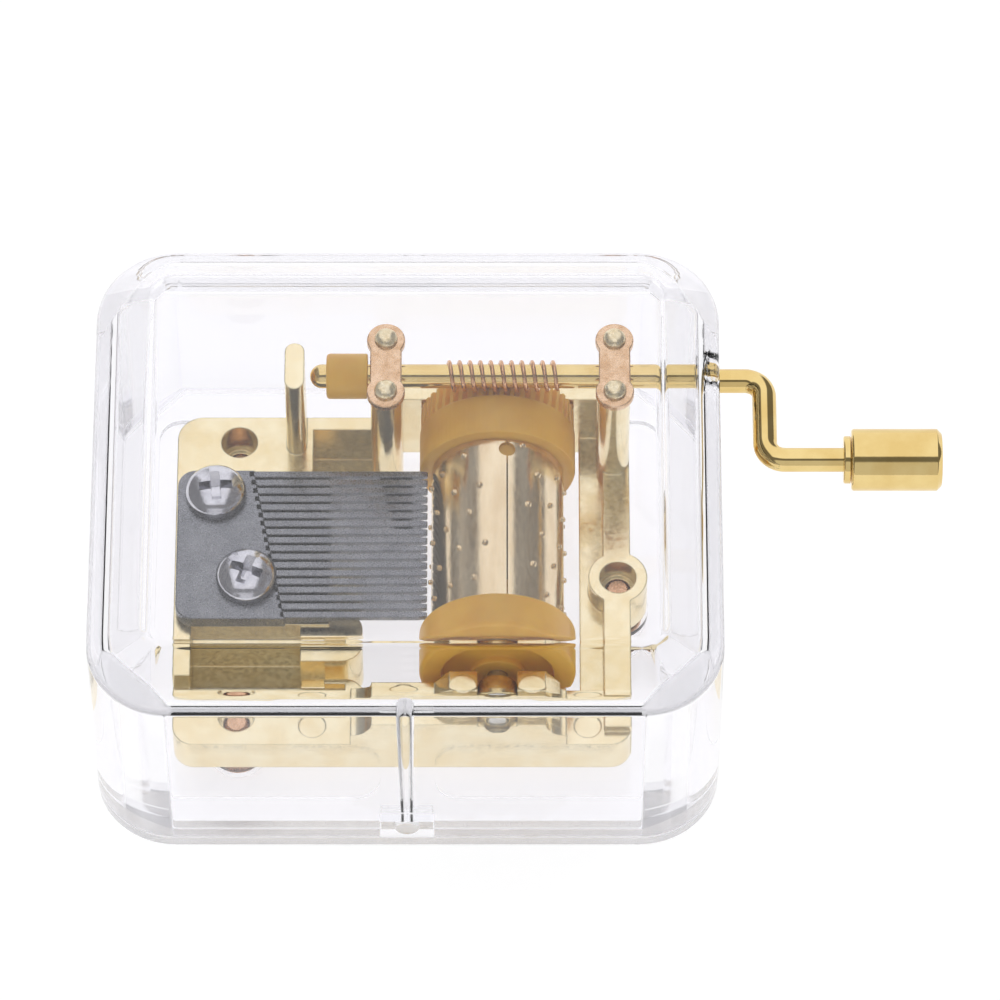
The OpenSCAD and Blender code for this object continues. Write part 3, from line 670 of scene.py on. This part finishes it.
def make_wheel():
    low, high = corners("worm_wheel")
    front = low.y + SPIGOT_LEN
    teeth_y = TEETH_FRONT_Y
    tip, root = WHEEL_PITCH_R + 0.29, WHEEL_PITCH_R - 0.22
    # one tooth: share of the pitch, radius
    tooth = ((0.00, root), (0.20, root), (0.30, root + 0.25), (0.40, tip), (0.80, tip), (0.90, root + 0.25))
    # the teeth slant as the worm does: 1 mm of pitch round a coil of 1.38 mm radius
    slant = 1.0 / (2 * math.pi * 1.38)

    def plain(radius, y):
        return [drum_point(radius, 2 * math.pi * (i + share) / WHEEL_TEETH, y)
                for i in range(WHEEL_TEETH) for share, _ in tooth]

    def toothed(y):
        twist = (y - SHAFT.y) * slant / WHEEL_PITCH_R
        return [drum_point(r, 2 * math.pi * (i + share - 0.1) / WHEEL_TEETH + twist, y)
                for i in range(WHEEL_TEETH) for share, r in tooth]

    rings = [plain(BORE_R, low.y), plain(SPIGOT_R, low.y), plain(SPIGOT_R, front)]
    rings += [plain(r, y) for r, y in ((WHEEL_RIM_R - 0.3, front), (WHEEL_RIM_R - 0.09, front + 0.08),
                                       (WHEEL_RIM_R, front + 0.3), (WHEEL_RIM_R, teeth_y - 0.12),
                                       (WHEEL_RIM_R - 0.1, teeth_y))]
    rings += [toothed(teeth_y + 0.02), toothed((teeth_y + high.y) / 2), toothed(high.y)]
    rings += [plain(r, y) for r, y in ((5.6, high.y), (5.6, high.y - 1.2), (2.4, high.y - 1.2), (2.4, high.y),
                                       (BORE_R, high.y))]
    wheel = skin("amber_wheel", rings, loop=True)
    piece("amber_wheel", wheel, "drum", ["worm_wheel"], AMBER, 35)


def make_cap():
    low, high = corners("cylinder_end_cap")
    cap_r = (high.x - low.x) / 2
    back = high.y - low.y - SPIGOT_LEN
    profile = filleted([(BORE_R, 0, 0), (2.5, 0, 0.15), (2.5, 0.7, 0.15), (5.4, 0.7, 0.2), (5.4, 0, 0.12),
                        (cap_r, 0, 0.45), (cap_r, back, 0.3), (SPIGOT_R, back, 0),
                        (SPIGOT_R, back + SPIGOT_LEN, 0.1), (BORE_R, back + SPIGOT_LEN, 0)])
    mesh = turned("amber_cap", profile, "Y", (DRUM.x, low.y, DRUM.z), 128, loop=True)
    piece("amber_cap", mesh, "drum", ["cylinder_end_cap"], AMBER)


def make_arbor():
    low, high = corners("cylinder_arbor")
    length, radius = high.y - low.y, (high.x - low.x) / 2
    profile = filleted([(0, 0, 0), (radius, 0, 0.25), (radius, length, 0.25), (0, length, 0)], closed=False)
    mesh = turned("drum_arbor", profile, "Y", (DRUM.x, low.y, DRUM.z), 48)
    piece("drum_arbor", mesh, "drum", ["cylinder_arbor"], ARBOR)


def make_bushes():
    for node, name in (("front_bush", "turned_front_bush"), ("rear_bush", "turned_rear_bush")):
        low, high = corners(node)
        length, radius = high.y - low.y, (high.x - low.x) / 2
        profile = filleted([(1.05, 0, 0.1), (radius, 0, 0.2), (radius, length, 0.2), (1.05, length, 0.1)])
        mesh = turned(name, profile, "Y", (DRUM.x, low.y, DRUM.z), 64, loop=True)
        piece(name, mesh, "root", [node], BUSH)


# ---------- crank ----------

CRANK_LOW, CRANK_HIGH = corners("crank_shaft")
WIRE_R = (CRANK_HIGH.z - CRANK_LOW.z) / 2
BEND_R = 1.85
LEG_X = 34.4
PIN_RADIUS = 0.9
PIN_OVERLAP = 0.75   # the pin starts this far inside the wire


def bend(middle, start, end, steps=12):
    """Part of a circle between two angles in degrees, level with the shaft."""
    points = []
    for k in range(steps + 1):
        t = math.radians(start + (end - start) * k / steps)
        points.append((middle[0] + BEND_R * math.cos(t), middle[1] + BEND_R * math.sin(t), SHAFT.z))
    return points


def make_crank():
    knob_low = corners("crank_knob")[0]
    path = [(CRANK_LOW.x + WIRE_R, SHAFT.y, SHAFT.z)]
    path += bend((LEG_X - BEND_R, SHAFT.y - BEND_R), 90, 0)
    path += bend((LEG_X + BEND_R, KNOB.y + BEND_R), 180, 270)
    pin_foot = (knob_low.x - PIN_OVERLAP, KNOB.y, SHAFT.z)
    path += [pin_foot]
    wire = swept("wire", path, WIRE_R, 40)
    tip = [(WIRE_R * math.sin(math.pi / 2 * k / 10), WIRE_R * (1 - math.cos(math.pi / 2 * k / 10)))
           for k in range(11)]
    nose = turned("nose", tip, "X", (CRANK_LOW.x, SHAFT.y, SHAFT.z), 40)
    reach = CRANK_HIGH.x - knob_low.x
    pin = turned("pin", [(PIN_RADIUS, 0), (PIN_RADIUS, reach + 0.6), (0.6, reach + PIN_OVERLAP)],
                 "X", pin_foot, 32)
    crank = joined("crank_wire", [wire, nose, pin])
    piece("crank_wire", crank, "crank", ["crank_shaft"], GOLD)


def make_coil():
    coil_r, wire_r, pitch = WIRE_R + 0.21, 0.2, 1.0
    first, last, steps = -5, 5.8, 32
    path = []
    for k in range(int((last - first) * steps) + 1):
        turn = first + k / steps
        angle = math.radians(270) + 2 * math.pi * turn
        path.append((DRUM.x + pitch * turn, SHAFT.y + coil_r * math.cos(angle),
                     SHAFT.z + coil_r * math.sin(angle)))
    coil = swept("worm_wire", path, wire_r, 12)
    piece("worm_wire", coil, "crank", ["worm_coil"], COPPER)


def make_collar():
    low, high = corners("shaft_collar")
    length, radius = high.x - low.x, (high.z - low.z) / 2
    profile = filleted([(WIRE_R + 0.02, 0, 0.1), (radius, 0, 0.35), (radius, length, 0.2),
                        (WIRE_R + 0.02, length, 0.1)])
    mesh = turned("amber_collar", profile, "X", (low.x, SHAFT.y, SHAFT.z), 64, loop=True)
    piece("amber_collar", mesh, "crank", ["shaft_collar"], AMBER)


def make_knob():
    low, high = corners("crank_knob")
    length, radius = high.x - low.x, (high.z - low.z) / 2
    bore = PIN_RADIUS + 0.05
    chamfer, well_r, well_depth = 0.45, 1.8, 1.0
    profile = filleted([(bore, 0, 0), (radius, 0, 0.3), (radius, length - chamfer, 0.15),
                        (radius - chamfer, length, 0.15), (well_r, length, 0.12),
                        (well_r, length - well_depth, 0), (bore, length - well_depth, 0)])
    mesh = turned("gold_knob", profile, "X", (low.x, KNOB.y, SHAFT.z), 128, loop=True)
    piece("gold_knob", mesh, "knob", ["crank_knob"], GOLD)
    tight = PIN_RADIUS + 0.02
    low, high = corners("knob_collar")
    length = high.x - low.x
    profile = filleted([(tight, 0, 0), (2.3, 0, 0.2), (2.3, length, 0.1), (tight, length, 0)])
    mesh = turned("gold_collar", profile, "X", (low.x, KNOB.y, SHAFT.z), 96, loop=True)
    piece("gold_collar", mesh, "crank", ["knob_collar"], GOLD)
    low, high = corners("knob_rivet")
    length = high.x - low.x
    profile = filleted([(tight, 0, 0), (1.55, 0, 0.05), (1.3, length, 0.25), (tight, length, 0)])
    mesh = turned("peened_pin_head", profile, "X", (low.x, KNOB.y, SHAFT.z), 48, loop=True)
    piece("peened_pin_head", mesh, "crank", ["knob_rivet"], GOLD)


# ---------- bearing straps ----------

RIVET_Y = 2.95


def make_straps():
    lug_r, waist = 1.85, 3.15 / 2
    for node, name in (("left_bearing_strap", "strap_left"), ("right_bearing_strap", "strap_right")):
        low, high = corners(node)
        x = (low.x + high.x) / 2
        # each lug is a round end that stops where it meets the waist
        swing = 180 - (math.degrees(math.asin(waist / lug_r)) - 3)
        steps = 28
        outline = []
        for side in (-1, 1):
            for k in range(steps + 1):
                t = math.radians(side * 90 - swing + 2 * swing * k / steps)
                outline.append((x + lug_r * math.cos(t), SHAFT.y + side * RIVET_Y + lug_r * math.sin(t)))
        mesh = plate(name, outline, low.z, high.z, 0.15)
        piece(name, mesh, "root", [node], ROSE, 30)


def make_rivets():
    low, high = corners("strap_rivets")
    heads = []
    head_low = high.z - 0.75
    for node in ("left_bearing_strap", "right_bearing_strap"):
        x = centre(node).x
        for side in (-1, 1):
            profile = [(0, low.z - head_low), (0.8, low.z - head_low), (0.8, 0), (1.02, 0)]
            # a peened head: flat-topped dome
            steps = 8
            for k in range(steps + 1):
                t = math.pi / 2 * k / steps
                radius = 1.1 * math.cos(t) ** 0.8 if k < steps else 0
                profile.append((radius, 0.12 + 0.63 * math.sin(t) ** 0.9))
            head = turned("rivet", profile, "Z", (x, SHAFT.y + side * RIVET_Y, head_low), 40)
            # hammered, so the top isn't quite even
            for vertex in head.vertices:
                if vertex.co.z > (head_low + 0.2) * MM:
                    wobble = math.sin(vertex.co.x * 5200 + side) * math.cos(vertex.co.y * 4700 + x)
                    vertex.co.z += 0.035 * MM * wobble
            heads.append(head)
    piece("peened_rivets", joined("peened_rivets", heads), "root", ["strap_rivets"], RIVET, 45)


# ---------- pieces hidden under the comb ----------

WEIGHTED_TEETH = 8
WEIGHT_END, WEIGHT_HALF = 0.4, 0.27
TONGUE_HALF, TONGUE_T = 0.2, 0.14


def make_underside():
    """Lead under the longest teeth, each lump smaller than the last, and tongues under the others."""
    top = COMB_HIGH.z - TOOTH_THIN
    weights = []
    for i in range(WEIGHTED_TEETH):
        start = WEIGHT_END - (3.4 - 0.22 * i)
        low = top - 1.5 + 0.08 * i
        left, right = tooth_y(i) - WEIGHT_HALF, tooth_y(i) + WEIGHT_HALF
        rings = [[(start + cut, left, z), (WEIGHT_END, left, z),
                  (WEIGHT_END, right, z), (start + cut, right, z)]
                 for cut, z in ((0.5, low), (0.1, low + 0.5), (0.0, top))]
        weights.append(skin("weight", rings))
    piece("lead_weights", joined("lead_weights", weights), "root", ["comb_weights"], LEAD, 20)
    low, high = corners("comb_dampers")
    tongues = []
    for i in range(WEIGHTED_TEETH, TEETH):
        left, right = tooth_y(i) - TONGUE_HALF, tooth_y(i) + TONGUE_HALF
        rings = [[(x, left, top - TONGUE_T), (x, right, top - TONGUE_T), (x, right, top), (x, left, top)]
                 for x in (low.x, low.x + 0.8, high.x - 0.3, high.x)]
        tongues.append(skin("tongue", rings))
    mesh = joined("damper_tongues", tongues)
    piece("damper_tongues", mesh, "root", ["comb_dampers"], FILM)


# ---------- studio: camera, lights, floor ----------

CAMERA_ELEVATION = math.radians(58)
CAMERA_DISTANCE = 0.748
CAMERA_TARGET = Vector((8.9, 6.9, 10.0)) * MM
SENSOR = 36.0
FIELD_OF_VIEW = math.radians(7.44)


def make_camera():
    data = bpy.data.cameras.new("camera")
    camera = bpy.data.objects.new("camera", data)
    bpy.context.collection.objects.link(camera)
    back = Vector((0, -math.cos(CAMERA_ELEVATION), math.sin(CAMERA_ELEVATION)))
    camera.location = CAMERA_TARGET + back * CAMERA_DISTANCE
    camera.rotation_mode = "QUATERNION"
    camera.rotation_quaternion = (-back).to_track_quat("-Z", "Y")
    data.sensor_width = SENSOR
    data.lens = SENSOR / 2 / math.tan(FIELD_OF_VIEW / 2)
    data.clip_start = 0.01
    bpy.context.scene.camera = camera


def make_world():
    """Softbox sky: bright overhead and behind, dark flats at both sides, a dark strip towards the front."""
    world = bpy.data.worlds.new("studio")
    bpy.context.scene.world = world
    world.use_nodes = True
    nodes, links = world.node_tree.nodes, world.node_tree.links
    place = nodes.new("ShaderNodeTexCoord")
    split = nodes.new("ShaderNodeSeparateXYZ")
    links.new(place.outputs["Generated"], split.inputs[0])

    def band(value, start, end, low, high):
        remap = nodes.new("ShaderNodeMapRange")
        remap.interpolation_type = "SMOOTHSTEP"
        for socket, number in (("From Min", start), ("From Max", end), ("To Min", low), ("To Max", high)):
            remap.inputs[socket].default_value = number
        links.new(value, remap.inputs["Value"])
        return remap.outputs["Result"]

    def maths(operation, first, second):
        node = nodes.new("ShaderNodeMath")
        node.operation = operation
        for socket, value in zip(node.inputs, (first, second)):
            if isinstance(value, float):
                socket.default_value = value
            else:
                links.new(value, socket)
        return node.outputs[0]

    # X and Y are the direction's own: the numbers are where each band starts and ends
    side = maths("ABSOLUTE", maths("ADD", split.outputs["X"], 0.05), 0.0)
    flats = band(side, 0.34, 0.48, 1.0, 0.0)
    strip_in = band(split.outputs["Y"], -0.40, -0.30, 0.0, 1.0)
    strip_out = band(split.outputs["Y"], -0.70, -0.60, 1.0, 0.0)
    front = maths("MAXIMUM", strip_in, maths("MULTIPLY", strip_out, 0.55))
    light = maths("MULTIPLY", flats, front)
    fill, softbox = 0.20, 0.92
    level = maths("ADD", maths("MULTIPLY", light, softbox), fill)
    links.new(level, nodes["Background"].inputs["Strength"])
    nodes["Background"].inputs["Color"].default_value = (0.985, 0.985, 1.0, 1)


def make_floor():
    """Pale floor that glows a little, just under the object so that the two don't share a plane."""
    reach = 3.0
    mesh = bpy.data.meshes.new("floor")
    mesh.from_pydata([(-reach, -reach, 0), (reach, -reach, 0), (reach, reach, 0), (-reach, reach, 0)],
                     [], [(0, 1, 2, 3)])
    floor = bpy.data.objects.new("floor", mesh)
    bpy.context.collection.objects.link(floor)
    floor.location.z = -0.0002
    material, _, _, shader = new_material("floor", (0.55, 0.55, 0.55), 0.9)
    shader.inputs["Specular IOR Level"].default_value = 0.0
    shader.inputs["Emission Color"].default_value = (1, 1, 1, 1)
    shader.inputs["Emission Strength"].default_value = 0.74
    floor.data.materials.append(material)


def make_studio():
    scene = bpy.context.scene
    scene.view_settings.view_transform = "Standard"
    # the flange guides light from end to end, so its rays bounce many times
    scene.cycles.max_bounces = 64
    scene.cycles.transmission_bounces = 60
    scene.cycles.transparent_max_bounces = 24
    scene.cycles.glossy_bounces = 8
    make_world()
    make_floor()


make_camera()
make_studio()
make_shell()
make_base()
make_screws()
dress_bed()
make_comb()
make_sleeve()
make_wheel()
make_cap()
make_arbor()
make_bushes()
make_crank()
make_coil()
make_collar()
make_knob()
make_straps()
make_rivets()
make_underside()
